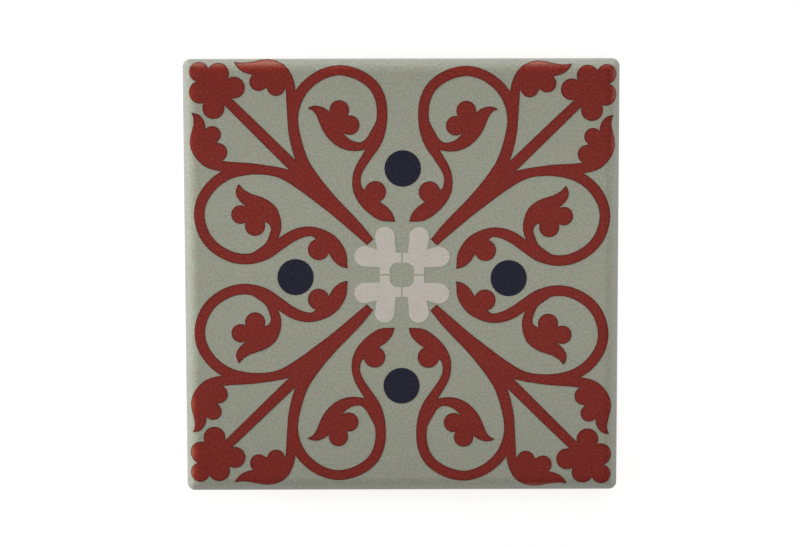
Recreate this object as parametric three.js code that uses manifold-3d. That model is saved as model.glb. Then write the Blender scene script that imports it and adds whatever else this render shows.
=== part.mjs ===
// A square ceramic coaster: a matte tile with a rounded rim and a printed scroll ornament,
// stuck to a thin cork sheet. Millimetres, +Z up, origin under the middle of the cork.
import * as THREE from "three";
import { ConvexGeometry } from "three/addons/geometries/ConvexGeometry.js";
import { mergeVertices } from "three/addons/utils/BufferGeometryUtils.js";
import Module from "manifold-3d";

// The tile
const TILE_WIDTH = 90;
const TILE_THICKNESS = 6;
const TILE_CORNER_RADIUS = 1.6;
const RIM_RADIUS = 2.9;
const TOP_CORNER_RADIUS = 0.2;
const BACK_EDGE_RADIUS = 0.5;

// The cork sheet and the film of adhesive that holds it
const CORK_THICKNESS = 1.6;
const CORK_MARGIN = 3;
const CORK_CORNER_RADIUS = 3;
const ADHESIVE_THICKNESS = 0.2;
const ADHESIVE_MARGIN = 1.5;

// The print: how proud the fired colour stands, and how far its leaves stay inside the tile's sides
const PRINT_THICKNESS = 0.1;
const PRINT_MARGIN = 0.7;

// The print lies a little askew on the tile, and its navy colour a little low on the rest
const PRINT_TURN_DEGREES = -0.42;
const PRINT_SHIFT = [0.05, 0.48];
const NAVY_SHIFT = [0.05, -0.58];

// The ornament is drawn for its upper right quarter, from the middle of the tile, and the other
// quarters mirror it. Bands are lists of [x, y, width], and discs are [x, y, radius].
const TIP = 0.15;
const TRUNK = [
  [6.6, 6.8, 1.8],
  [9.1, 9.4, 2.5],
  [11.7, 11.9, 2.9],
  [14.2, 14.2, 3.25],
  [17.15, 16.95, 4.1],
  [19.4, 19.3, 4.7],
];
const STEM = [
  [18.5, 18.5, 2.45],
  [30, 29.78, 2.26],
  [37.5, 37.1, 2.05],
];
const TOP_VINE = [
  [18, 19.2, 2.6],
  [20.1, 22.3, 2.55],
  [21.15, 24.6, 2.5],
  [22.15, 28.1, 2.4],
  [22.7, 32, 2.2],
  [22.15, 35.35, 2.25],
  [20.9, 37.9, 2.25],
  [19.3, 39.65, 2.2],
  [17.45, 41, 2.15],
  [15.5, 41.85, 2.15],
  [13.2, 42.3, 2.15],
  [10.3, 41.8, 2.2],
  [8.05, 40.75, 2.2],
  [6.3, 39.4, 2.2],
  [5.15, 37.75, 2.2],
  [4.45, 35.65, 2.2],
  [4.25, 33.3, 2.2],
  [4.5, 30.9, 2.35],
  [5, 28.9, 2.4],
  [5.8, 27, 2.3],
  [6.95, 25.2, 2.05],
  [8.05, 23.5, 1.95],
  [8.88, 22.1, 1.85],
  [9.4, 20.6, 1.75],
  [9.5, 19.3, 1.8],
  [9.2, 17.6, 2.1],
  [7.8, 15.85, 3.1],
  [5.8, 14, 3.35],
  [4.04, 12.8, 3.25],
  [2.65, 12, 2.15],
  [1.5, 11.1, TIP],
];
const TOP_LEAF = [
  [22.7, 32, 2.2],
  [23.05, 36.5, 2.05],
  [23.2, 38.6, 2.1],
  [23.9, 40.4, 2.5],
  [25.4, 42, 3.3],
  [28, 42.75, 3.6],
  [30.6, 42.6, 2.9],
  [32.6, 42.75, 2.1],
  [33.8, 43.2, 1.2],
  [34.8, 43.87, TIP],
];
const TOP_BUD = [
  [4.4, 32, 2],
  [4.85, 30.7, 2.2],
  [5.65, 29.15, 2.3],
  [6.65, 27.65, 2.15],
  [8.4, 26.65, 1.75],
  [10.9, 26.8, 2.25],
  [13, 28, 2.9],
  [14.55, 30, 3.5],
  [15.6, 31.9, 3.4],
  [16.9, 33.6, 2.4],
  [18.3, 34.42, 1.25],
  [19.55, 34.45, TIP],
];
const SIDE_VINE = [
  [17.28, 16, 2.4],
  [19.3, 17.55, 2.4],
  [21.3, 18.95, 2.4],
  [23.4, 20.35, 2.5],
  [25.7, 21.2, 2.1],
  [27.9, 21.6, 2],
  [31, 21.8, 2.2],
  [34.4, 21.3, 2.25],
  [36.6, 20.5, 2.3],
  [38.8, 19, 2.3],
  [40.6, 16.9, 2.3],
  [41.65, 14.8, 2.25],
  [42.05, 12.6, 2.25],
  [41.8, 10.4, 2.25],
  [40.9, 8, 2.25],
  [39.3, 5.9, 2.25],
  [37.3, 4.45, 2.25],
  [35, 3.45, 2.25],
  [32.5, 3.13, 2.25],
  [30.2, 3.5, 2.35],
  [28.15, 4.45, 2.7],
  [26.6, 5.5, 2.65],
  [25, 6.5, 2.4],
  [23.4, 7.62, 2.4],
  [21.6, 8.5, 2.3],
  [20, 8.92, 2.1],
  [18.4, 8.92, 2.05],
  [16.6, 8, 2.8],
  [14.9, 6.7, 3.35],
  [13.7, 5.2, 3.35],
  [12.95, 3.75, 3.15],
  [12.2, 2.4, 2.05],
  [11.3, 1.35, TIP],
];
const SIDE_LEAF = [
  [27.9, 21.6, 2],
  [31, 21.93, 2.2],
  [34, 22.15, 2.15],
  [36.5, 22.3, 2.2],
  [38.6, 22.7, 2.4],
  [40.2, 23.6, 3],
  [41.7, 25.55, 3.45],
  [42.3, 27.4, 3.5],
  [42.1, 29.5, 2.9],
  [42, 31, 2.5],
  [42.4, 32.2, 1.8],
  [43, 32.9, 0.9],
  [43.57, 33.3, TIP],
];
const SIDE_BUD = [
  [31, 3.3, 2.1],
  [29.3, 4.3, 2.2],
  [27.5, 5.95, 1.95],
  [26.6, 7.9, 2],
  [26.15, 9.4, 2.15],
  [26.45, 11.05, 2.75],
  [27.55, 12.55, 4],
  [29.05, 13.95, 3.8],
  [30.7, 14.85, 3.3],
  [32.2, 15.65, 2.75],
  [33.45, 16.83, 2.2],
  [33.77, 17.9, 1.2],
  [33.85, 18.68, TIP],
];
const SPRAY_BANDS = [TRUNK, STEM, TOP_VINE, TOP_LEAF, TOP_BUD, SIDE_VINE, SIDE_LEAF, SIDE_BUD];

const TOP_HOOK_BALL = [5.6, 17.25, 2.25];
const SIDE_HOOK_BALL = [17.3, 5.2, 2.25];
// The third disc of each three fills the heart of its leaf or bud between the two lobes.
const LEAF_LOBES = [
  [29.75, 39.8, 1.9],
  [26.15, 38.8, 1.9],
  [27.9, 40.3, 1.9],
  [39.3, 28.9, 1.8],
  [38.15, 25.25, 1.95],
  [40, 26.6, 1.9],
];
const BUD_LOBES = [
  [13.1, 34.1, 2.05],
  [10.95, 31, 2.05],
  [13.2, 31.6, 1.6],
  [33.5, 12.4, 1.95],
  [30.5, 10.1, 2.13],
  [31.2, 12.9, 1.9],
];
const ROSETTE = [
  [34.8, 38.6, 2.25],
  [38.1, 41.4, 2.3],
  [42.05, 41.8, 2.05],
  [41.8, 37.6, 2.35],
  [39.05, 34.4, 2.3],
  [39, 38.6, 3.3],
];
const SPRAY_DISCS = [TOP_HOOK_BALL, SIDE_HOOK_BALL, ...LEAF_LOBES, ...BUD_LOBES, ...ROSETTE];

// The navy dots: their radius, and the gap from each to the two hook balls inward of it
const DOT_RADIUS = 3.79;
const TOP_DOT_GAP = 1.77;
const SIDE_DOT_GAP = 1.07;

// The pale middle flower: two petals on a square block for each quarter, parted by fine seams
const SEAM = 0.28;
const FLOWER_BLOCK = 4.6;
const FLOWER_EYE = 2.55;
const FLOWER_EYE_CORNER = 1.7;
const UPRIGHT_PETAL = [
  [3.15, 3.2, 3.6],
  [3.2, 5, 3.8],
  [3.45, 6.8, 3.9],
  [3.55, 7.95, 4.1],
];
const LEVEL_PETAL = [
  [3, 3.3, 3.5],
  [4.8, 3.4, 3.6],
  [6.6, 3.65, 4],
  [7.8, 3.85, 4.2],
];

// Colours, and how matte each is
const CORK = { color: 0xb98a5a, roughness: 0.9 };
const ADHESIVE = { color: 0xd8cfae, roughness: 0.6 };
const SAGE = { color: 0x919384, roughness: 0.75 };
const RED = { color: 0x732f27, roughness: 0.7 };
const PALE = { color: 0xb2ada4, roughness: 0.7 };
const NAVY = { color: 0x292a32, roughness: 0.65 };

// Facets
const CORNER_STEPS = 6;
const RIM_STEPS = 7;
const BACK_EDGE_STEPS = 2;
const BAND_STEPS = 2;
const DISC_STEPS = 24;
const MERGE_DISTANCE = 1e-4;

const wasm = await Module();
wasm.setup();

const TILE_BACK = CORK_THICKNESS + ADHESIVE_THICKNESS;
const CORK_WIDTH = TILE_WIDTH - 2 * CORK_MARGIN;
const ADHESIVE_WIDTH = CORK_WIDTH - 2 * ADHESIVE_MARGIN;

// The drawing is scaled so that its outermost leaf stays the margin inside the tile's side.
const SPRAY_OUTLINES = [...SPRAY_BANDS.map(bandOutline), ...SPRAY_DISCS.map(discOutline)];
const DRAWING_REACH = Math.max(...SPRAY_OUTLINES.flat(2));
const DRAWING_SCALE = (TILE_WIDTH / 2 - PRINT_MARGIN) / DRAWING_REACH;

const QUARTERS = [
  ["ne", 1, 1],
  ["nw", -1, 1],
  ["sw", -1, -1],
  ["se", 1, -1],
];

// A closed geometry as a solid that can be joined and cut.
function solidOf(geometry) {
  geometry.deleteAttribute("normal");
  geometry.deleteAttribute("uv");
  const merged = mergeVertices(geometry, MERGE_DISTANCE);
  return new wasm.Manifold(
    new wasm.Mesh({
      numProp: 3,
      vertProperties: merged.attributes.position.array,
      triVerts: new Uint32Array(merged.index.array),
    }),
  );
}

// A solid as a named mesh of one matte colour.
function meshOf(name, solid, look) {
  const { vertProperties, triVerts } = solid.getMesh();
  const geometry = new THREE.BufferGeometry();
  geometry.setAttribute("position", new THREE.BufferAttribute(vertProperties, 3));
  geometry.setIndex(new THREE.BufferAttribute(triVerts, 1));
  geometry.computeVertexNormals();
  const mesh = new THREE.Mesh(geometry, new THREE.MeshStandardMaterial(look));
  mesh.name = name;
  return mesh;
}

// A square with rounded corners, centred on the origin.
function roundedSquare(side, radius) {
  const middle = side / 2 - radius;
  const shape = new THREE.Shape();
  shape.absarc(middle, middle, radius, 0, Math.PI / 2);
  shape.absarc(-middle, middle, radius, Math.PI / 2, Math.PI);
  shape.absarc(-middle, -middle, radius, Math.PI, 1.5 * Math.PI);
  shape.absarc(middle, -middle, radius, 1.5 * Math.PI, 2 * Math.PI);
  shape.closePath();
  return shape;
}

// A flat sheet with square edges.
function sheet(side, radius, bottom, top) {
  const geometry = new THREE.ExtrudeGeometry(roundedSquare(side, radius), {
    depth: top - bottom,
    bevelEnabled: false,
    curveSegments: CORNER_STEPS,
  });
  return geometry.translate(0, 0, bottom);
}

// The tile's body, grown by a skin, as the hull of its outlines at successive heights: they draw in
// over the rim above, where the corners tighten to the top's own, and a little behind.
function tileBody(skin) {
  const rim = RIM_RADIUS + skin;
  const outlines = [];
  for (let i = 0; i <= RIM_STEPS; i++) {
    const angle = (i / RIM_STEPS) * (Math.PI / 2);
    const height = TILE_THICKNESS - RIM_RADIUS + rim * Math.cos(angle);
    outlines.push([rim * (1 - Math.sin(angle)), height]);
  }
  for (let i = 0; i <= BACK_EDGE_STEPS; i++) {
    const angle = (i / BACK_EDGE_STEPS) * (Math.PI / 2);
    outlines.push([BACK_EDGE_RADIUS * (1 - Math.cos(angle)), BACK_EDGE_RADIUS * (1 - Math.sin(angle))]);
  }
  const points = outlines.flatMap(([inset, height]) => {
    const side = TILE_WIDTH + 2 * (skin - inset);
    const radius = Math.max(TILE_CORNER_RADIUS + skin - inset, TOP_CORNER_RADIUS);
    const corners = roundedSquare(side, radius).getPoints(CORNER_STEPS);
    return corners.map(({ x, y }) => new THREE.Vector3(x, y, height));
  });
  return solidOf(new ConvexGeometry(points));
}

// A place on the tile for a point of the drawing, mirrored into one quarter and shifted by its colour.
function placeOnTile([x, y], [mirrorX, mirrorY], [shiftX, shiftY]) {
  const turn = THREE.MathUtils.degToRad(PRINT_TURN_DEGREES);
  return new THREE.Vector2(mirrorX * x + shiftX, mirrorY * y + shiftY)
    .multiplyScalar(DRAWING_SCALE)
    .rotateAround(new THREE.Vector2(), turn)
    .add(new THREE.Vector2(...PRINT_SHIFT));
}

// The outline of a band that swells and tapers along a smooth curve.
function bandOutline(stops) {
  const curve = new THREE.CatmullRomCurve3(stops.map((stop) => new THREE.Vector3(...stop)));
  const count = BAND_STEPS * (stops.length - 1);
  const left = [];
  const right = [];
  for (let i = 0; i <= count; i++) {
    const { x, y, z: width } = curve.getPoint(i / count);
    const along = curve.getTangent(i / count).setZ(0).normalize();
    const half = width / 2;
    left.push([x - half * along.y, y + half * along.x]);
    right.push([x + half * along.y, y - half * along.x]);
  }
  return [...left, ...right.reverse()];
}

function discOutline([x, y, radius]) {
  const circle = new THREE.EllipseCurve(x, y, radius, radius);
  return circle.getPoints(DISC_STEPS).slice(0, -1).map((point) => [point.x, point.y]);
}

// An outline of the drawing as a column, from the foot of the tile's rim to above the print.
function column(outline, mirror, shift = [0, 0]) {
  const shape = new THREE.Shape(outline.map((point) => placeOnTile(point, mirror, shift)));
  const geometry = new THREE.ExtrudeGeometry(shape, {
    depth: RIM_RADIUS + 2 * PRINT_THICKNESS,
    bevelEnabled: false,
  });
  return solidOf(geometry.translate(0, 0, TILE_THICKNESS - RIM_RADIUS));
}

function joined(solids) {
  return solids.reduce((whole, solid) => whole.add(solid));
}

// One spray of red scrollwork: vines, leaves, buds, hooked ends and a rosette.
function spray(mirror) {
  return joined(SPRAY_OUTLINES.map((outline) => column(outline, mirror)));
}

// One quarter of the pale flower, open at its eye.
function flowerQuarter(mirror) {
  const seam = SEAM / 2;
  const block = [
    [seam, seam],
    [FLOWER_BLOCK, seam],
    [FLOWER_BLOCK, FLOWER_BLOCK],
    [seam, FLOWER_BLOCK],
  ];
  const [upX, upY, upWidth] = UPRIGHT_PETAL.at(-1);
  const [levelX, levelY, levelWidth] = LEVEL_PETAL.at(-1);
  const outlines = [
    block,
    bandOutline(UPRIGHT_PETAL),
    discOutline([upX, upY, upWidth / 2]),
    bandOutline(LEVEL_PETAL),
    discOutline([levelX, levelY, levelWidth / 2]),
  ];
  const eye = roundedSquare(2 * FLOWER_EYE, FLOWER_EYE_CORNER).getPoints(CORNER_STEPS);
  const petals = joined(outlines.map((outline) => column(outline, mirror)));
  return petals.subtract(column(eye.map(({ x, y }) => [x, y]), mirror));
}

// A dot's distance from the middle, given the place of its hook balls along and across its axis.
function dotReach(along, across, ballRadius, gap) {
  const apart = DOT_RADIUS + gap + ballRadius;
  return along + Math.sqrt(apart ** 2 - across ** 2);
}

const coaster = new THREE.Group();
const printedTile = new THREE.Group();
printedTile.position.z = TILE_BACK;
coaster.add(printedTile);

const cork = solidOf(sheet(CORK_WIDTH, CORK_CORNER_RADIUS, 0, CORK_THICKNESS));
coaster.add(meshOf("cork_backing", cork, CORK));

const film = solidOf(sheet(ADHESIVE_WIDTH, CORK_CORNER_RADIUS, CORK_THICKNESS, TILE_BACK));
coaster.add(meshOf("adhesive_film", film, ADHESIVE));

const tile = tileBody(0);
printedTile.add(meshOf("ceramic_tile", tile, SAGE));

// The colour lies on the tile's top and runs over its rounded rim.
const skin = tileBody(PRINT_THICKNESS).subtract(tile);

for (const [quarter, mirrorX, mirrorY] of QUARTERS) {
  const mirror = [mirrorX, mirrorY];
  const red = spray(mirror).intersect(skin);
  printedTile.add(meshOf("scroll_spray_" + quarter, red, RED));
  const pale = flowerQuarter(mirror).intersect(skin);
  printedTile.add(meshOf("flower_quarter_" + quarter, pale, PALE));
}

const [topBallX, topBallY, topBallRadius] = TOP_HOOK_BALL;
const [sideBallX, sideBallY, sideBallRadius] = SIDE_HOOK_BALL;
const topReach = dotReach(topBallY, topBallX, topBallRadius, TOP_DOT_GAP);
const sideReach = dotReach(sideBallX, sideBallY, sideBallRadius, SIDE_DOT_GAP);
const dots = [
  ["n", 0, topReach],
  ["e", sideReach, 0],
  ["s", 0, -topReach],
  ["w", -sideReach, 0],
];
for (const [side, x, y] of dots) {
  const navy = column(discOutline([x, y, DOT_RADIUS]), [1, 1], NAVY_SHIFT).intersect(skin);
  printedTile.add(meshOf("navy_dot_" + side, navy, NAVY));
}

export default coaster;
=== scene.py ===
import math

import bmesh
import bpy
import numpy as np
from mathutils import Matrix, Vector, noise


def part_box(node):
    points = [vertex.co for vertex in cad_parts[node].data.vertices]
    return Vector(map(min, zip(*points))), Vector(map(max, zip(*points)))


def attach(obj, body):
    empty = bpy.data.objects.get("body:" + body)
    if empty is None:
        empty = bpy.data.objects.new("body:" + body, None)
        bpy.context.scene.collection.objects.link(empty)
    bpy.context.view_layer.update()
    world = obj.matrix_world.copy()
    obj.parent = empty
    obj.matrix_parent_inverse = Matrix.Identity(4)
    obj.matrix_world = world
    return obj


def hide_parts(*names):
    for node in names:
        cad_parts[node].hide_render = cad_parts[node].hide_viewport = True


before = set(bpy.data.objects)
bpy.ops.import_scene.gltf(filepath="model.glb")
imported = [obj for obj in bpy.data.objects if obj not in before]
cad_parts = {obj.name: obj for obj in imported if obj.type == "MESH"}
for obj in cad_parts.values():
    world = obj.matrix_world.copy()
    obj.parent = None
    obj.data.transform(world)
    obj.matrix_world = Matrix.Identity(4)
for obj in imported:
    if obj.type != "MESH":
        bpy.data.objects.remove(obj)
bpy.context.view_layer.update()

bl_info = {
    "name": "Printed ceramic coaster",
    "version": (1, 0, 0),
    "blender": (4, 5, 0),
    "location": "View3D > Sidebar > Coaster",
    "description": "Makes a glazed square coaster with a scroll print and a cork back",
    "category": "Object",
}

MM = 0.001
# Places nearer to each other than this are taken as one, and so is a place this near to a cut
SAME_PLACE = 1e-6
ON_CUT = 1e-7
BODY = "root"

TILE_LOW, TILE_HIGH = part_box("ceramic_tile")
CORK_LOW, CORK_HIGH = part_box("cork_backing")

QUARTERS = ("ne", "nw", "sw", "se")
SIDES = ("n", "e", "s", "w")

# Steps of the tile's roundings
RIM_STEPS = 8
CORNER_STEPS = 14
BACK_EDGE_STEPS = 5


# Sizes and colours that a user would change

class CoasterSizes(bpy.types.PropertyGroup):
    """Sizes of the coaster, in metres."""

    tile_width: bpy.props.FloatProperty(
        name="Tile width", description="Side of the square tile",
        default=TILE_HIGH.x - TILE_LOW.x, unit="LENGTH")
    tile_thickness: bpy.props.FloatProperty(
        name="Tile thickness", description="Height of the tile without its print",
        default=TILE_HIGH.z - TILE_LOW.z, unit="LENGTH")
    rim_width: bpy.props.FloatProperty(
        name="Rim width", description="Width of the sloping rim, seen from above",
        default=3.0 * MM, unit="LENGTH")
    rim_slope: bpy.props.FloatProperty(
        name="Rim slope", description="How steeply the rim falls",
        default=math.radians(45), subtype="ANGLE")
    rim_top_radius: bpy.props.FloatProperty(
        name="Rim top radius", description="Rounding between the top and the rim",
        default=2.7 * MM, unit="LENGTH")
    rim_side_radius: bpy.props.FloatProperty(
        name="Rim side radius", description="Rounding between the rim and the tile's side",
        default=1.6 * MM, unit="LENGTH")
    corner_radius: bpy.props.FloatProperty(
        name="Corner radius", description="Rounding of the tile's corners, seen from above",
        default=1.6 * MM, unit="LENGTH")
    back_edge_radius: bpy.props.FloatProperty(
        name="Back edge radius", description="Rounding of the tile's lower edge",
        default=0.5 * MM, unit="LENGTH")
    glaze_foot: bpy.props.FloatProperty(
        name="Glaze foot", description="Height of bare clay between the tile's back and the glaze",
        default=1.0 * MM, unit="LENGTH")
    print_thickness: bpy.props.FloatProperty(
        name="Print thickness", description="How far the fired print stands off the tile",
        default=0.04 * MM, unit="LENGTH")
    print_grid: bpy.props.FloatProperty(
        name="Print grid", description="Spacing of the print's mesh on the flat",
        default=0.6 * MM, unit="LENGTH")
    cork_width: bpy.props.FloatProperty(
        name="Cork width", description="Side of the cork sheet",
        default=CORK_HIGH.x - CORK_LOW.x, unit="LENGTH")
    cork_thickness: bpy.props.FloatProperty(
        name="Cork thickness", description="Height of the cork sheet",
        default=CORK_HIGH.z - CORK_LOW.z, unit="LENGTH")
    cork_corner_radius: bpy.props.FloatProperty(
        name="Cork corner radius", description="Rounding of the cork's corners, seen from above",
        default=3.0 * MM, unit="LENGTH")
    cork_pit: bpy.props.FloatProperty(
        name="Cork pits", description="Depth of the pits between the cork's granules",
        default=0.12 * MM, unit="LENGTH")


class CoasterColours(bpy.types.PropertyGroup):
    """Colours of the coaster's glaze, prints and back."""

    sage: bpy.props.FloatVectorProperty(
        name="Sage glaze", description="Ground colour of the tile",
        default=(0.285, 0.293, 0.235), subtype="COLOR")
    red: bpy.props.FloatVectorProperty(
        name="Red print", description="Colour of the scroll sprays",
        default=(0.186, 0.0193, 0.0131), subtype="COLOR")
    navy: bpy.props.FloatVectorProperty(
        name="Navy print", description="Colour of the dots",
        default=(0.0158, 0.0160, 0.0286), subtype="COLOR")
    pale: bpy.props.FloatVectorProperty(
        name="Pale print", description="Colour of the middle flower",
        default=(0.455, 0.438, 0.384), subtype="COLOR")
    clay: bpy.props.FloatVectorProperty(
        name="Bare clay", description="Colour of the tile where no glaze covers it",
        default=(0.49, 0.415, 0.33), subtype="COLOR")
    cork: bpy.props.FloatVectorProperty(
        name="Cork", description="Colour of most cork granules",
        default=(0.48, 0.26, 0.105), subtype="COLOR")
    bark: bpy.props.FloatVectorProperty(
        name="Bark", description="Colour of the dark granules and seams in the cork",
        default=(0.16, 0.07, 0.026), subtype="COLOR")
    adhesive: bpy.props.FloatVectorProperty(
        name="Adhesive", description="Colour of the dried adhesive",
        default=(0.69, 0.62, 0.42), subtype="COLOR")


class CoasterStage(bpy.types.PropertyGroup):
    """Floor, light and camera."""

    floor_size: bpy.props.FloatProperty(
        name="Floor size", description="Side of the floor", default=6.0, unit="LENGTH")
    floor: bpy.props.FloatVectorProperty(
        name="Floor", description="Colour of the floor", default=(0.5, 0.5, 0.5), subtype="COLOR")
    floor_glow: bpy.props.FloatProperty(
        name="Floor glow", description="Light that the floor gives off, as a light table does",
        default=0.68)
    sky: bpy.props.FloatProperty(
        name="Sky", description="Strength of the even light from all round", default=0.0)
    lens: bpy.props.FloatProperty(
        name="Lens", description="Focal length of the camera, in millimetres", default=96.75)
    camera_place: bpy.props.FloatVectorProperty(
        name="Camera place", description="Where the camera stands",
        default=(-2.43 * MM, 44.76 * MM, 450.05 * MM), subtype="TRANSLATION", unit="LENGTH")
    camera_turn: bpy.props.FloatVectorProperty(
        name="Camera turn", description="How the camera is turned from looking straight down",
        default=tuple(math.radians(a) for a in (-5.6803, -0.2824, -0.1190)),
        subtype="EULER", unit="ROTATION")


# Mesh helpers

def finished(name, bm, material, slot, *nodes):
    """A mesh as a piece that rides on the body, with its finish and the nodes it stands for."""
    mesh = bpy.data.meshes.new(name)
    bm.to_mesh(mesh)
    bm.free()
    piece = bpy.data.objects.new(name, mesh)
    bpy.context.scene.collection.objects.link(piece)
    mesh.materials.append(material)
    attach(piece, BODY)
    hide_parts(*nodes)
    return piece


def rounded(bm, edges, radius, segments):
    """Rounds edges to a radius."""
    bmesh.ops.bevel(bm, geom=edges, offset=radius, offset_type="OFFSET", affect="EDGES",
                    segments=segments, profile=0.5, material=-1)


def block(width, low, high):
    """A square block between two heights."""
    bm = bmesh.new()
    bmesh.ops.create_cube(bm, size=1)
    bmesh.ops.scale(bm, vec=(width, width, high - low), verts=bm.verts)
    bmesh.ops.translate(bm, vec=(0, 0, (low + high) / 2), verts=bm.verts)
    return bm


def upright_edges(bm):
    """The edges that don't lie level."""
    return [e for e in bm.edges if abs(e.verts[0].co.z - e.verts[1].co.z) > SAME_PLACE]


def facing(bm, sign):
    """The one flat face that looks up or down."""
    return max(bm.faces, key=lambda f: sign * f.normal.z * f.calc_area())


def rim_profile(sizes, steps):
    """Insets of the rim and their heights below the top, from the tile's side up: a rounding,
    a straight slope and a rounding."""
    slope, top, side = sizes.rim_slope, sizes.rim_top_radius, sizes.rim_side_radius
    straight = sizes.rim_width - top * math.sin(slope) - side * (1 - math.sin(slope))
    foot = top * (1 - math.cos(slope)) + straight * math.tan(slope) + side * math.cos(slope)
    profile = []
    for i in range(steps + 1):
        tilt = math.pi / 2 - (math.pi / 2 - slope) * i / steps
        profile.append((side * (1 - math.sin(tilt)), foot - side * math.cos(tilt)))
    for i in range(steps + 1):
        tilt = slope - slope * i / steps
        profile.append((sizes.rim_width - top * math.sin(tilt), top * (1 - math.cos(tilt))))
    return profile


def raise_rim(bm, sizes):
    """Makes the tile's rim: its top is inset and raised along the profile. Once the inset has used up
    the corners' rounding, each corner goes on as a point."""
    sharp = False
    profile = rim_profile(sizes, RIM_STEPS)
    for (inset, fall), (next_inset, next_fall) in zip(profile, profile[1:]):
        top = facing(bm, 1)
        if next_inset > sizes.corner_radius and not sharp:
            sharp = True
            reach = sizes.tile_width / 2 - inset
            for x in (-1, 1):
                for y in (-1, 1):
                    corner = [v for v in top.verts if v.co.x * x > 0 and v.co.y * y > 0]
                    point = (x * reach, y * reach, corner[0].co.z)
                    bmesh.ops.pointmerge(bm, verts=corner, merge_co=point)
            top = facing(bm, 1)
        bmesh.ops.inset_region(bm, faces=[top], thickness=next_inset - inset, depth=fall - next_fall,
                               use_even_offset=True)


def inside_by(x, y, width, corner):
    """How far a point lies inside the outline of a square with rounded corners."""
    qx = abs(x) - width / 2 + corner
    qy = abs(y) - width / 2 + corner
    outside = math.hypot(max(qx, 0), max(qy, 0))
    return corner - outside - min(max(qx, qy), 0)


def skin_height(x, y, sizes, lift):
    """Height of the tile's top at a point, over its rim, with a skin of some thickness on it."""
    inset = inside_by(x, y, sizes.tile_width, sizes.corner_radius)
    slope, top, side = sizes.rim_slope, sizes.rim_top_radius + lift, sizes.rim_side_radius + lift
    upper = sizes.rim_width - top * math.sin(slope)
    lower = sizes.rim_side_radius - side * math.sin(slope)
    if inset >= upper:
        over = max(sizes.rim_width - inset, 0)
        return TILE_HIGH.z + lift - top + math.sqrt(top ** 2 - over ** 2)
    shoulder = TILE_HIGH.z + lift - top * (1 - math.cos(slope))
    height = shoulder - (upper - max(inset, lower)) * math.tan(slope)
    if inset >= lower:
        return height
    over = min(sizes.rim_side_radius - inset, side)
    return height - side * math.cos(slope) + math.sqrt(side ** 2 - over ** 2)


def cut(bm, axis, place):
    """Cuts a mesh across one axis."""
    point = Vector((0, 0, 0))
    point[axis] = place
    normal = Vector((0, 0, 0))
    normal[axis] = 1
    geometry = bm.verts[:] + bm.edges[:] + bm.faces[:]
    bmesh.ops.bisect_plane(bm, geom=geometry, dist=ON_CUT, plane_co=point, plane_no=normal)


def edge_distance(bm):
    """Stores how far each vertex lies from the print's outline."""
    border = [e for e in bm.edges if e.is_boundary]
    start = np.array([e.verts[0].co[:2] for e in border])
    step = np.array([e.verts[1].co[:2] for e in border]) - start
    square = (step ** 2).sum(1)
    layer = bm.verts.layers.float.new("from_edge")
    for vert in bm.verts:
        away = np.array(vert.co[:2]) - start
        along = np.clip((away * step).sum(1) / square, 0, 1)
        vert[layer] = np.sqrt(((away - along[:, None] * step) ** 2).sum(1).min())


# How far the normal of a print's top points up at least, and that of its thin wall at most
LOOKS_UP = 0.02
PRINT_WALL = 0.2


def print_mesh(node, sizes):
    """The print of one node as a thin shell that follows the tile's smooth top and rim."""
    bm = bmesh.new()
    bm.from_mesh(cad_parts[node].data)
    bmesh.ops.remove_doubles(bm, verts=bm.verts, dist=SAME_PLACE)
    bm.normal_update()
    hidden = [f for f in bm.faces if f.normal.z < LOOKS_UP]
    bmesh.ops.delete(bm, geom=hidden, context="FACES")
    if not bm.faces:
        raise RuntimeError("no printed face on " + node)
    for vert in bm.verts:
        vert.co.z = 0
    bmesh.ops.dissolve_faces(bm, faces=bm.faces)
    half = sizes.tile_width / 2
    count = int((half - sizes.rim_width) / sizes.print_grid)
    places = [sizes.print_grid * (i + 0.5) for i in range(count)]
    places += [half - inset for inset, fall in rim_profile(sizes, RIM_STEPS)]
    low = [min(v.co[axis] for v in bm.verts) for axis in (0, 1)]
    high = [max(v.co[axis] for v in bm.verts) for axis in (0, 1)]
    for axis in (0, 1):
        for place in places:
            for side in (place, -place):
                if low[axis] < side < high[axis]:
                    cut(bm, axis, side)
    bmesh.ops.triangulate(bm, faces=bm.faces)
    edge_distance(bm)
    for vert in bm.verts:
        vert.co.z = skin_height(vert.co.x, vert.co.y, sizes, sizes.print_thickness)
    bm.normal_update()
    bmesh.ops.solidify(bm, geom=bm.faces[:], thickness=sizes.print_thickness)
    bmesh.ops.recalc_face_normals(bm, faces=bm.faces)
    for face in bm.faces:
        face.smooth = abs(face.normal.z) > PRINT_WALL
    return bm


# Material helpers

def new_material(name, roughness, specular):
    """A material with one Principled shader, its node tree and that shader."""
    material = bpy.data.materials.new(name)
    material.use_nodes = True
    tree = material.node_tree
    tree.nodes.clear()
    shader = tree.nodes.new("ShaderNodeBsdfPrincipled")
    output = tree.nodes.new("ShaderNodeOutputMaterial")
    tree.links.new(shader.outputs["BSDF"], output.inputs["Surface"])
    shader.inputs["Roughness"].default_value = roughness
    shader.inputs["Specular IOR Level"].default_value = specular
    return material, tree, shader


def place_on_object(tree):
    """Where each point lies on its own object."""
    return tree.nodes.new("ShaderNodeTexCoord").outputs["Object"]


def math_node(tree, operation, first, second):
    """A sum on two values, each a number or another node's output."""
    node = tree.nodes.new("ShaderNodeMath")
    node.operation = operation
    for socket, value in zip(node.inputs, (first, second)):
        if isinstance(value, (int, float)):
            socket.default_value = value
        else:
            tree.links.new(value, socket)
    return node.outputs["Value"]


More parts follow.
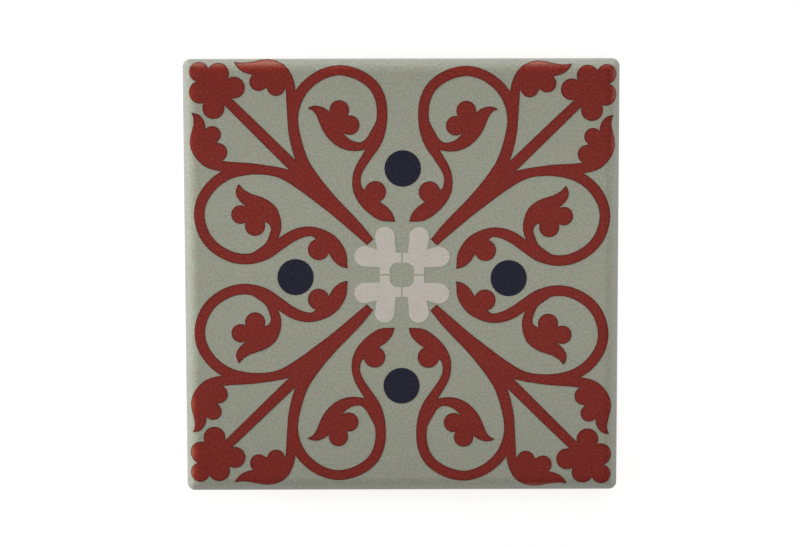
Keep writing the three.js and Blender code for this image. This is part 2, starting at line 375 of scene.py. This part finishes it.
def ramp(tree, value, low, high, bottom=0.0, top=1.0):
    """Maps a value smoothly from one range to another."""
    node = tree.nodes.new("ShaderNodeMapRange")
    node.interpolation_type = "SMOOTHSTEP"
    tree.links.new(value, node.inputs["Value"])
    for name, number in (("From Min", low), ("From Max", high), ("To Min", bottom), ("To Max", top)):
        node.inputs[name].default_value = number
    return node.outputs["Result"]


def blend(tree, factor, first, second, mode="MIX"):
    """Mixes two colours, each a fixed colour or another node's output."""
    node = tree.nodes.new("ShaderNodeMix")
    node.data_type = "RGBA"
    node.blend_type = mode
    # A mix node's colour sockets come after those for numbers and vectors
    for socket, value in ((node.inputs[0], factor), (node.inputs[6], first), (node.inputs[7], second)):
        if isinstance(value, (int, float)):
            socket.default_value = value
        elif isinstance(value, bpy.types.NodeSocket):
            tree.links.new(value, socket)
        else:
            socket.default_value = (*value, 1)
    return node.outputs[2]


def noise_node(tree, vector, scale, detail):
    """Soft noise between 0 and 1."""
    node = tree.nodes.new("ShaderNodeTexNoise")
    node.inputs["Scale"].default_value = scale
    node.inputs["Detail"].default_value = detail
    tree.links.new(vector, node.inputs["Vector"])
    return node.outputs["Fac"]


def bump(tree, shader, height, strength, distance):
    """Gives a shader a fine relief."""
    node = tree.nodes.new("ShaderNodeBump")
    node.inputs["Strength"].default_value = strength
    node.inputs["Distance"].default_value = distance
    tree.links.new(height, node.inputs["Height"])
    tree.links.new(node.outputs["Normal"], shader.inputs["Normal"])


def group(name, inputs, outputs):
    """An empty node group with its sockets, and its inner ends."""
    tree = bpy.data.node_groups.new(name, "ShaderNodeTree")
    for label, kind, default in inputs:
        socket = tree.interface.new_socket(label, in_out="INPUT", socket_type=kind)
        if default is not None:
            socket.default_value = default
    for label, kind in outputs:
        tree.interface.new_socket(label, in_out="OUTPUT", socket_type=kind)
    return tree, tree.nodes.new("NodeGroupInput").outputs, tree.nodes.new("NodeGroupOutput").inputs


def placed(tree, shared, **values):
    """Places a node group in a material, on the object's own coordinates, with the values given."""
    node = tree.nodes.new("ShaderNodeGroup")
    node.node_tree = shared
    for name, number in values.items():
        node.inputs[name].default_value = number
    tree.links.new(place_on_object(tree), node.inputs["Vector"])
    return node.outputs


def sandy_grain():
    """The fired surface's fine sand and soft clouds: a tone to multiply by, a height and a mask that parts
    two hues."""
    name = "Sandy grain"
    if name in bpy.data.node_groups:
        return bpy.data.node_groups[name]
    tree, given, result = group(
        name,
        (("Vector", "NodeSocketVector", None), ("Sand", "NodeSocketFloat", 0.2),
         ("Clouds", "NodeSocketFloat", 0.1)),
        (("Tone", "NodeSocketFloat"), ("Height", "NodeSocketFloat"), ("Hue", "NodeSocketFloat")))
    sand = noise_node(tree, given["Vector"], scale=2300, detail=3)
    clouds = noise_node(tree, given["Vector"], scale=260, detail=3)
    hues = noise_node(tree, given["Vector"], scale=1050, detail=2)
    sand_tone = math_node(tree, "MULTIPLY", math_node(tree, "SUBTRACT", sand, 0.5), given["Sand"])
    cloud_tone = math_node(tree, "MULTIPLY", math_node(tree, "SUBTRACT", clouds, 0.5), given["Clouds"])
    tone = math_node(tree, "ADD", math_node(tree, "ADD", sand_tone, cloud_tone), 1.0)
    tree.links.new(tone, result["Tone"])
    tree.links.new(sand, result["Height"])
    tree.links.new(ramp(tree, hues, low=0.35, high=0.65), result["Hue"])
    return tree


def grained(tree, sand, clouds):
    """Places the sandy grain in a material."""
    return placed(tree, sandy_grain(), Sand=sand, Clouds=clouds)


def height_in(tree, vector):
    """The height of a place."""
    split = tree.nodes.new("ShaderNodeSeparateXYZ")
    tree.links.new(vector, split.inputs["Vector"])
    return split.outputs["Z"]


def rim_highlight_group():
    """A mask for the painted rim highlight, partly also a coat thinning there: it grows from the tile's
    top to some depth below it.
    """
    name = "Rim thinness"
    if name in bpy.data.node_groups:
        return bpy.data.node_groups[name]
    tree, given, result = group(
        name,
        (("Vector", "NodeSocketVector", None), ("Depth", "NodeSocketFloat", 1.0 * MM)),
        (("Thin", "NodeSocketFloat"),))
    # Painted highlight: the mask marks the rim and sides, which are painted paler where light catches them
    fall = math_node(tree, "SUBTRACT", TILE_HIGH.z, height_in(tree, given["Vector"]))
    share = math_node(tree, "DIVIDE", fall, given["Depth"])
    tree.links.new(ramp(tree, share, 0, 1), result["Thin"])
    return tree


def rim_highlight_mask(tree, depth):
    """Places the rim's painted-highlight mask in a material."""
    return placed(tree, rim_highlight_group(), Depth=depth)["Thin"]


def tinted(colour, factors):
    """A colour with each channel multiplied by its own factor."""
    return tuple(c * k for c, k in zip(colour, factors))


GLAZE_ROUGHNESS = 0.5
CLAY_ROUGHNESS = 0.9
# The glaze's factors for its two hues and for the rim, which is painted paler as a painted highlight,
# partly also for the glaze thinning there
GLAZE_GREENER = (0.965, 1.022, 0.98)
GLAZE_PINKER = (1.045, 0.985, 1.01)
GLAZE_RIM_HIGHLIGHT = (1.05, 1.04, 1.12)
# How far below the tile's top the painted rim highlight on the glaze and the inks is full
RIM_HIGHLIGHT_DEPTH = 1.0 * MM
# How far the glaze's lower end wavers up and down, and how softly it ends
GLAZE_WAVER = 0.9 * MM
GLAZE_END = 0.06 * MM


def glaze_material(colours, sizes):
    """Matte sage glaze, painted paler on the rim and sides as a highlight, that ends in a wavering line
    above bare clay.
    """
    material, tree, shader = new_material("sage_glaze", roughness=GLAZE_ROUGHNESS, specular=0.2)
    grain = grained(tree, sand=0.75, clouds=0.10)
    greener = tinted(colours.sage, GLAZE_GREENER)
    pinker = tinted(colours.sage, GLAZE_PINKER)
    mottled = blend(tree, grain["Hue"], greener, pinker)
    # Painted highlight: below the tile's top the glaze is painted paler and whiter, standing in for light
    # caught by the rim
    rim_highlit = blend(tree, rim_highlight_mask(tree, RIM_HIGHLIGHT_DEPTH), mottled, tinted(colours.sage, GLAZE_RIM_HIGHLIGHT))
    sage = blend(tree, 1.0, rim_highlit, grain["Tone"], "MULTIPLY")
    place = place_on_object(tree)
    waver = math_node(tree, "MULTIPLY", noise_node(tree, place, scale=320, detail=3), GLAZE_WAVER)
    wavering_height = math_node(tree, "SUBTRACT", height_in(tree, place), waver)
    foot = TILE_LOW.z + sizes.glaze_foot - GLAZE_WAVER / 2
    covered = ramp(tree, wavering_height, foot - GLAZE_END, foot + GLAZE_END)
    clay = blend(tree, 1.0, colours.clay, grain["Tone"], "MULTIPLY")
    tree.links.new(blend(tree, covered, clay, sage), shader.inputs["Base Color"])
    tree.links.new(ramp(tree, covered, 0, 1, CLAY_ROUGHNESS, GLAZE_ROUGHNESS), shader.inputs["Roughness"])
    bump(tree, shader, grain["Height"], strength=0.25, distance=0.06 * MM)
    return material


# Each ink: factors for its second hue, its outline and its painted highlight on the rim (strong on the red
# only, partly also thin ink there), the strength of its sand, how much of the glaze shows through in
# specks, and its roughness
INKS = {
    "red": dict(hue=(1.03, 0.97, 1.0), outline=(0.58, 0.90, 0.95), rim=(1.62, 5.4, 5.6),
                sand=1.0, specks=0.045, roughness=0.5),
    "pale": dict(hue=(1.07, 0.96, 1.02), outline=(1.0, 1.02, 0.97), rim=(1.0, 1.0, 1.0),
                 sand=0.4, specks=0.0, roughness=0.55),
    "navy": dict(hue=(0.9, 0.95, 1.1), outline=(1.15, 1.15, 1.1), rim=(1.0, 1.0, 1.0),
                 sand=1.0, specks=0.03, roughness=0.5),
}
OUTLINE_WIDTH = 0.42 * MM


def print_material(colours, name):
    """Fired print of one ink."""
    colour = getattr(colours, name)
    ink = INKS[name]
    material, tree, shader = new_material(name + "_print", roughness=ink["roughness"], specular=0.15)
    grain = grained(tree, sand=ink["sand"], clouds=0.16)
    attribute = tree.nodes.new("ShaderNodeAttribute")
    attribute.attribute_name = "from_edge"
    mottled = blend(tree, grain["Hue"], colour, tinted(colour, ink["hue"]))
    # Painted highlight: each ink is painted paler below the tile's top, as light caught by the rim; strong
    # on the red
    rim_highlit = blend(tree, rim_highlight_mask(tree, RIM_HIGHLIGHT_DEPTH), mottled, tinted(colour, ink["rim"]))
    middle = ramp(tree, attribute.outputs["Fac"], 0.0, OUTLINE_WIDTH)
    outlined = blend(tree, middle, tinted(colour, ink["outline"]), rim_highlit)
    specks = ramp(tree, grain["Height"], low=0.5, high=0.75, top=ink["specks"])
    speckled = blend(tree, specks, outlined, colours.sage)
    toned = blend(tree, 1.0, speckled, grain["Tone"], "MULTIPLY")
    tree.links.new(toned, shader.inputs["Base Color"])
    bump(tree, shader, grain["Height"], strength=0.35, distance=0.05 * MM)
    return material


# Cork granules to the metre, how much lighter the lightest are, and the shares of them past which they
# begin to be dark and are all dark
GRANULES = 560
LIGHT_GRANULE = 1.28
DARK_FROM, DARK_ALL = 0.80, 0.90


def cork_material(colours):
    """Pressed cork: granules of mixed tone with dark seams and pores."""
    material, tree, shader = new_material("pressed_cork", roughness=0.9, specular=0.25)
    vector = place_on_object(tree)
    cells = tree.nodes.new("ShaderNodeTexVoronoi")
    seams = tree.nodes.new("ShaderNodeTexVoronoi")
    seams.feature = "DISTANCE_TO_EDGE"
    for node in (cells, seams):
        node.inputs["Scale"].default_value = GRANULES
        tree.links.new(vector, node.inputs["Vector"])
    split = tree.nodes.new("ShaderNodeSeparateColor")
    tree.links.new(cells.outputs["Color"], split.inputs["Color"])
    light = tuple(min(c * LIGHT_GRANULE, 1) for c in colours.cork)
    tan = blend(tree, split.outputs["Red"], colours.cork, light)
    dark = ramp(tree, split.outputs["Green"], DARK_FROM, DARK_ALL, top=0.75)
    granules = blend(tree, dark, tan, colours.bark)
    seam = ramp(tree, seams.outputs["Distance"], low=0.0, high=0.09, bottom=0.6, top=0.0)
    seamed = blend(tree, seam, granules, colours.bark)
    speck = noise_node(tree, vector, scale=3200, detail=4)
    tone = ramp(tree, speck, low=0.3, high=0.7, bottom=0.8, top=1.12)
    tree.links.new(blend(tree, 1.0, seamed, tone, "MULTIPLY"), shader.inputs["Base Color"])
    relief = math_node(tree, "ADD", ramp(tree, seams.outputs["Distance"], low=0, high=0.12), speck)
    bump(tree, shader, relief, strength=0.5, distance=0.1 * MM)
    return material


def adhesive_material(colours):
    """Dried adhesive, a little cloudy."""
    material, tree, shader = new_material("dried_adhesive", roughness=0.45, specular=0.5)
    clouds = noise_node(tree, place_on_object(tree), scale=180, detail=3)
    clear = tinted(colours.adhesive, (0.82, 0.82, 0.82))
    tree.links.new(blend(tree, clouds, clear, colours.adhesive), shader.inputs["Base Color"])
    roughness = ramp(tree, clouds, low=0.2, high=0.8, bottom=0.35, top=0.6)
    tree.links.new(roughness, shader.inputs["Roughness"])
    return material


# Pieces

# How far past the rim the tile's corners reach, and how nearly upright a level face's normal is
CORNER_MARGIN = 0.3 * MM
LEVEL = 0.9999


class COASTER_OT_tile(bpy.types.Operator):
    """Makes the glazed tile with its rounded rim"""

    bl_idname = "coaster.tile"
    bl_label = "Glazed tile"

    def execute(self, context):
        sizes = context.scene.coaster_sizes
        foot = rim_profile(sizes, RIM_STEPS)[0][1]
        bm = block(sizes.tile_width, TILE_LOW.z, TILE_LOW.z + sizes.tile_thickness - foot)
        rounded(bm, upright_edges(bm), sizes.corner_radius, CORNER_STEPS)
        rounded(bm, facing(bm, -1).edges[:], sizes.back_edge_radius, BACK_EDGE_STEPS)
        raise_rim(bm, sizes)
        # Cuts part the sides from the corners, so that a corner's smooth shading doesn't spread along them
        reach = sizes.tile_width / 2 - sizes.rim_width - CORNER_MARGIN
        for axis in (0, 1):
            for side in (reach, -reach):
                cut(bm, axis, side)
        bm.normal_update()
        for face in bm.faces:
            face.smooth = abs(face.normal.z) < LEVEL
        material = glaze_material(context.scene.coaster_colours, sizes)
        finished("glazed_tile", bm, material, "matte_ceramic", "ceramic_tile")
        return {"FINISHED"}


class COASTER_OT_sprays(bpy.types.Operator):
    """Lays the four red scroll sprays on the tile"""

    bl_idname = "coaster.sprays"
    bl_label = "Scroll sprays"

    def execute(self, context):
        material = print_material(context.scene.coaster_colours, "red")
        for quarter in QUARTERS:
            node = "scroll_spray_" + quarter
            bm = print_mesh(node, context.scene.coaster_sizes)
            finished("red_spray_" + quarter, bm, material, "red_print", node)
        return {"FINISHED"}


class COASTER_OT_flower(bpy.types.Operator):
    """Lays the four pale quarters of the middle flower on the tile"""

    bl_idname = "coaster.flower"
    bl_label = "Middle flower"

    def execute(self, context):
        material = print_material(context.scene.coaster_colours, "pale")
        for quarter in QUARTERS:
            node = "flower_quarter_" + quarter
            bm = print_mesh(node, context.scene.coaster_sizes)
            finished("pale_petals_" + quarter, bm, material, "pale_print", node)
        return {"FINISHED"}


class COASTER_OT_dots(bpy.types.Operator):
    """Lays the four navy dots on the tile"""

    bl_idname = "coaster.dots"
    bl_label = "Navy dots"

    def execute(self, context):
        material = print_material(context.scene.coaster_colours, "navy")
        for side in SIDES:
            node = "navy_dot_" + side
            bm = print_mesh(node, context.scene.coaster_sizes)
            finished("navy_disc_" + side, bm, material, "navy_print", node)
        return {"FINISHED"}


# Grain of the cork's pits, how many courses of vertices its edge has, how much deeper its edge crumbles
# than its underside is pitted, and the turn past which an edge of its mesh is shown sharp
PIT_GRAIN = 900
EDGE_CUTS = 3
CRUMBLE = 1.2
SHARP_TURN = math.radians(50)


class COASTER_OT_cork(bpy.types.Operator):
    """Makes the cork sheet with its crumbly edge and pitted underside"""

    bl_idname = "coaster.cork"
    bl_label = "Cork sheet"

    def execute(self, context):
        sizes = context.scene.coaster_sizes
        half = sizes.cork_width / 2
        corner = sizes.cork_corner_radius
        cells = round(sizes.cork_width / MM)
        bm = bmesh.new()
        bmesh.ops.create_grid(bm, x_segments=cells, y_segments=cells, size=half)
        for vert in bm.verts:
            u = max(abs(vert.co.x) - half + corner, 0) / corner
            v = max(abs(vert.co.y) - half + corner, 0) / corner
            if u and v:
                x = half - corner + corner * u * math.sqrt(1 - v * v / 2)
                y = half - corner + corner * v * math.sqrt(1 - u * u / 2)
                vert.co.x = math.copysign(x, vert.co.x)
                vert.co.y = math.copysign(y, vert.co.y)
        made = bmesh.ops.extrude_face_region(bm, geom=bm.faces[:])
        raised = [g for g in made["geom"] if isinstance(g, bmesh.types.BMVert)]
        bmesh.ops.translate(bm, vec=(0, 0, sizes.cork_thickness), verts=raised)
        bmesh.ops.subdivide_edges(bm, edges=upright_edges(bm), cuts=EDGE_CUTS)
        bmesh.ops.translate(bm, vec=(0, 0, CORK_LOW.z), verts=bm.verts)
        bmesh.ops.recalc_face_normals(bm, faces=bm.faces)
        for vert in bm.verts:
            depth = inside_by(vert.co.x, vert.co.y, sizes.cork_width, corner)
            rough = noise.fractal(vert.co * PIT_GRAIN, 0.6, 2.0, 3)
            pit = sizes.cork_pit * min(max(rough, 0), 1)
            if depth < SAME_PLACE:
                shrink = 1 - CRUMBLE * pit / half
                vert.co.x *= shrink
                vert.co.y *= shrink
            elif vert.co.z < CORK_LOW.z + SAME_PLACE:
                vert.co.z += pit
        for face in bm.faces:
            face.smooth = True
        material = cork_material(context.scene.coaster_colours)
        piece = finished("cork_sheet", bm, material, "cork", "cork_backing")
        piece.data.set_sharp_from_angle(angle=SHARP_TURN)
        return {"FINISHED"}


class COASTER_OT_adhesive(bpy.types.Operator):
    """Gives the adhesive film between tile and cork its finish"""

    bl_idname = "coaster.adhesive"
    bl_label = "Adhesive film"

    def execute(self, context):
        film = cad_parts["adhesive_film"]
        film.data.materials.clear()
        film.data.materials.append(adhesive_material(context.scene.coaster_colours))
        return {"FINISHED"}


# The stage: each soft box as its name, heading and height in degrees, distance, width and depth in
# metres, power in watts, and whether the glaze reflects it
SOFT_BOXES = (
    ("left_box", 180, 8, 0.9, 0.5, 0.2, 9.3, False),
    ("top_box", 90, 8, 0.9, 0.5, 0.2, 7.4, False),
    ("right_box", 0, 8, 0.9, 0.5, 0.2, 2.1, False),
    ("bottom_box", 270, 25, 0.9, 0.5, 0.2, 1.75, False),
    ("key_box", 270, 72, 0.63, 0.25, 0.25, 0.36, True),
)
# A panel just over the coaster, which gives the soft pool of light on it
PANEL = ("overhead_panel", 0.35, 0.12, 0.109, False)
PANEL_PLACE = (0, 0.012, 0.075)


def area_light(scene, name, width, depth, power, reflected):
    """A soft rectangle of light that the camera doesn't see."""
    light = bpy.data.lights.new(name, "AREA")
    light.shape = "RECTANGLE"
    light.size = width
    light.size_y = depth
    light.energy = power
    lamp = bpy.data.objects.new(name, light)
    lamp.visible_camera = False
    lamp.visible_glossy = reflected
    scene.collection.objects.link(lamp)
    return lamp


class COASTER_OT_stage(bpy.types.Operator):
    """Sets the pale floor, the soft light and the camera"""

    bl_idname = "coaster.stage"
    bl_label = "Stage"

    def execute(self, context):
        scene = context.scene
        stage = scene.coaster_stage
        bm = bmesh.new()
        bmesh.ops.create_grid(bm, x_segments=1, y_segments=1, size=stage.floor_size / 2)
        mesh = bpy.data.meshes.new("floor")
        bm.to_mesh(mesh)
        bm.free()
        floor = bpy.data.objects.new("floor", mesh)
        scene.collection.objects.link(floor)
        material, tree, shader = new_material("floor", roughness=0.9, specular=0.0)
        shader.inputs["Base Color"].default_value = (*stage.floor, 1)
        shader.inputs["Emission Color"].default_value = (1, 1, 1, 1)
        shader.inputs["Emission Strength"].default_value = stage.floor_glow
        mesh.materials.append(material)

        world = bpy.data.worlds.new("soft_sky")
        world.use_nodes = True
        background = world.node_tree.nodes["Background"]
        background.inputs["Color"].default_value = (1, 1, 1, 1)
        background.inputs["Strength"].default_value = stage.sky
        scene.world = world

        for name, heading, height, distance, width, depth, power, reflected in SOFT_BOXES:
            box = area_light(scene, name, width, depth, power, reflected)
            across = distance * math.cos(math.radians(height))
            box.location = (across * math.cos(math.radians(heading)),
                            across * math.sin(math.radians(heading)),
                            distance * math.sin(math.radians(height)))
            box.rotation_euler = box.location.to_track_quat("Z", "Y").to_euler()
        panel = area_light(scene, *PANEL)
        panel.location = PANEL_PLACE

        lens = bpy.data.cameras.new("camera")
        lens.lens = stage.lens
        camera = bpy.data.objects.new("camera", lens)
        camera.location = stage.camera_place
        camera.rotation_euler = stage.camera_turn
        scene.collection.objects.link(camera)
        scene.camera = camera

        scene.view_settings.view_transform = "Standard"
        scene.view_settings.look = "None"
        return {"FINISHED"}


class COASTER_PT_panel(bpy.types.Panel):
    """Sizes, colours and steps of the coaster"""

    bl_idname = "COASTER_PT_panel"
    bl_label = "Coaster"
    bl_space_type = "VIEW_3D"
    bl_region_type = "UI"
    bl_category = "Coaster"

    def draw(self, context):
        scene = context.scene
        for values in (scene.coaster_sizes, scene.coaster_colours, scene.coaster_stage):
            box = self.layout.box()
            for name in values.__annotations__:
                box.prop(values, name)
        for step in STEPS:
            self.layout.operator(step.bl_idname)


STEPS = (COASTER_OT_tile, COASTER_OT_sprays, COASTER_OT_flower, COASTER_OT_dots, COASTER_OT_cork,
         COASTER_OT_adhesive, COASTER_OT_stage)
CLASSES = (CoasterSizes, CoasterColours, CoasterStage, *STEPS, COASTER_PT_panel)


def register():
    for item in CLASSES:
        bpy.utils.register_class(item)
    bpy.types.Scene.coaster_sizes = bpy.props.PointerProperty(type=CoasterSizes)
    bpy.types.Scene.coaster_colours = bpy.props.PointerProperty(type=CoasterColours)
    bpy.types.Scene.coaster_stage = bpy.props.PointerProperty(type=CoasterStage)


def unregister():
    del bpy.types.Scene.coaster_stage
    del bpy.types.Scene.coaster_colours
    del bpy.types.Scene.coaster_sizes
    for item in reversed(CLASSES):
        bpy.utils.unregister_class(item)


def main():
    register()
    bpy.ops.coaster.tile()
    bpy.ops.coaster.sprays()
    bpy.ops.coaster.flower()
    bpy.ops.coaster.dots()
    bpy.ops.coaster.cork()
    bpy.ops.coaster.adhesive()
    bpy.ops.coaster.stage()


if __name__ == "__main__":
    main()
